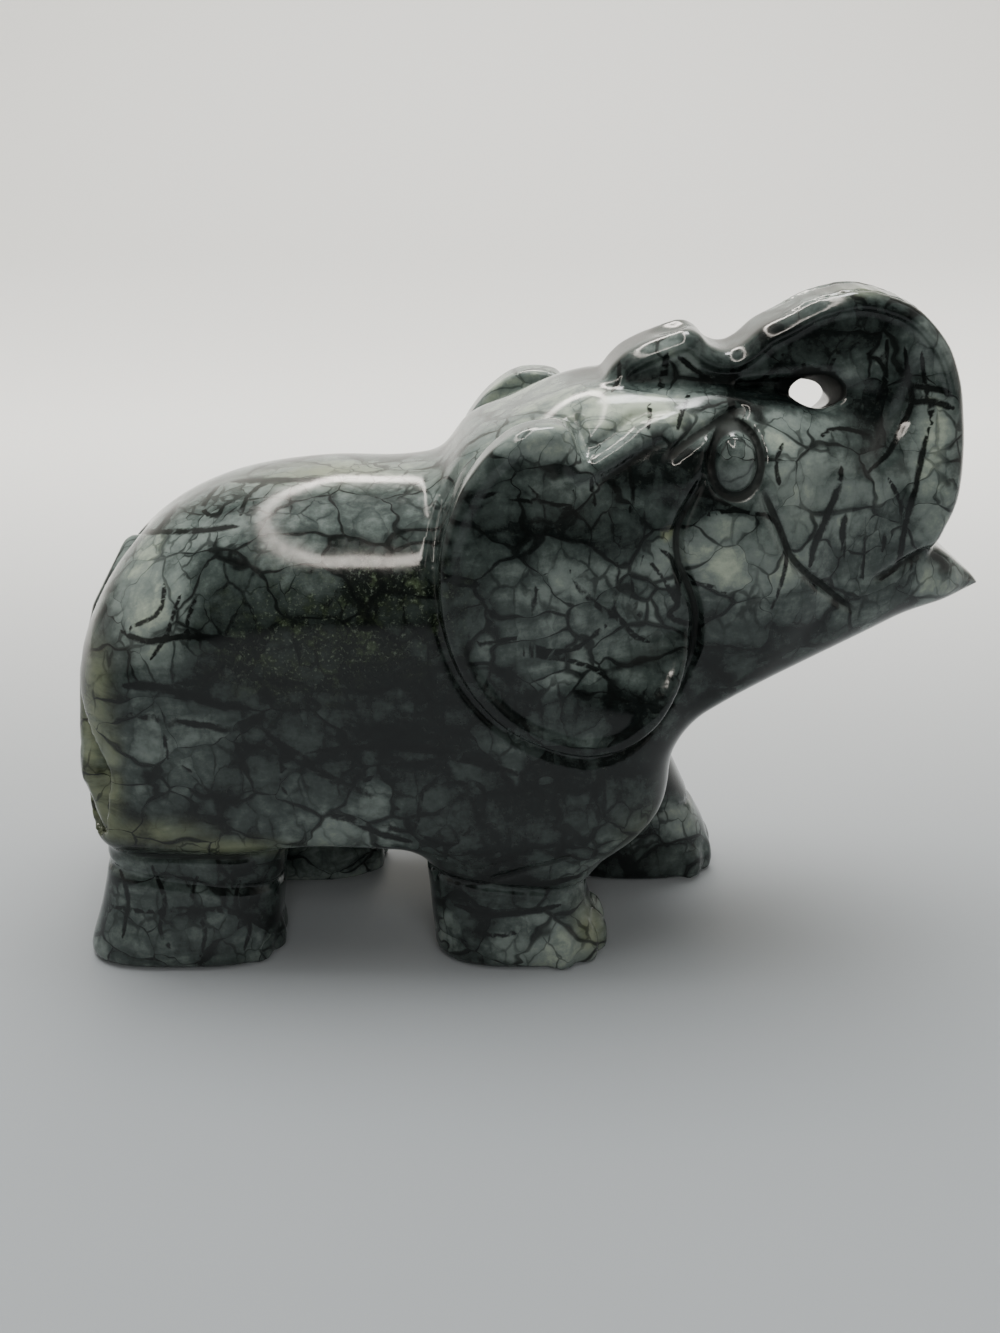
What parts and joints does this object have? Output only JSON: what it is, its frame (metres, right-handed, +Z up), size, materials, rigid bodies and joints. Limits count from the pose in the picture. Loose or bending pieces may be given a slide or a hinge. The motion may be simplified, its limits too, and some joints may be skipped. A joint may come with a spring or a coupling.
{
  "type": "elephant figurine",
  "caption": "Small elephant figurine carved from one piece of dark green veined stone, trunk raised and curled over the brow, standing on its own feet.",
  "frame": {"origin": "on the surface it stands on, under the middle of its bounding box", "axes": "+X forward, from tail to head; +Y to the elephant's left; +Z up"},
  "size_m": [0.1518, 0.061, 0.1107],
  "materials": {
    "veined_stone": "polished dark grey-green jade or serpentine with black veins, paler cells and olive patches"
  },
  "bodies": {
    "root": {"elephant": "veined_stone"}
  },
  "joints": []
}
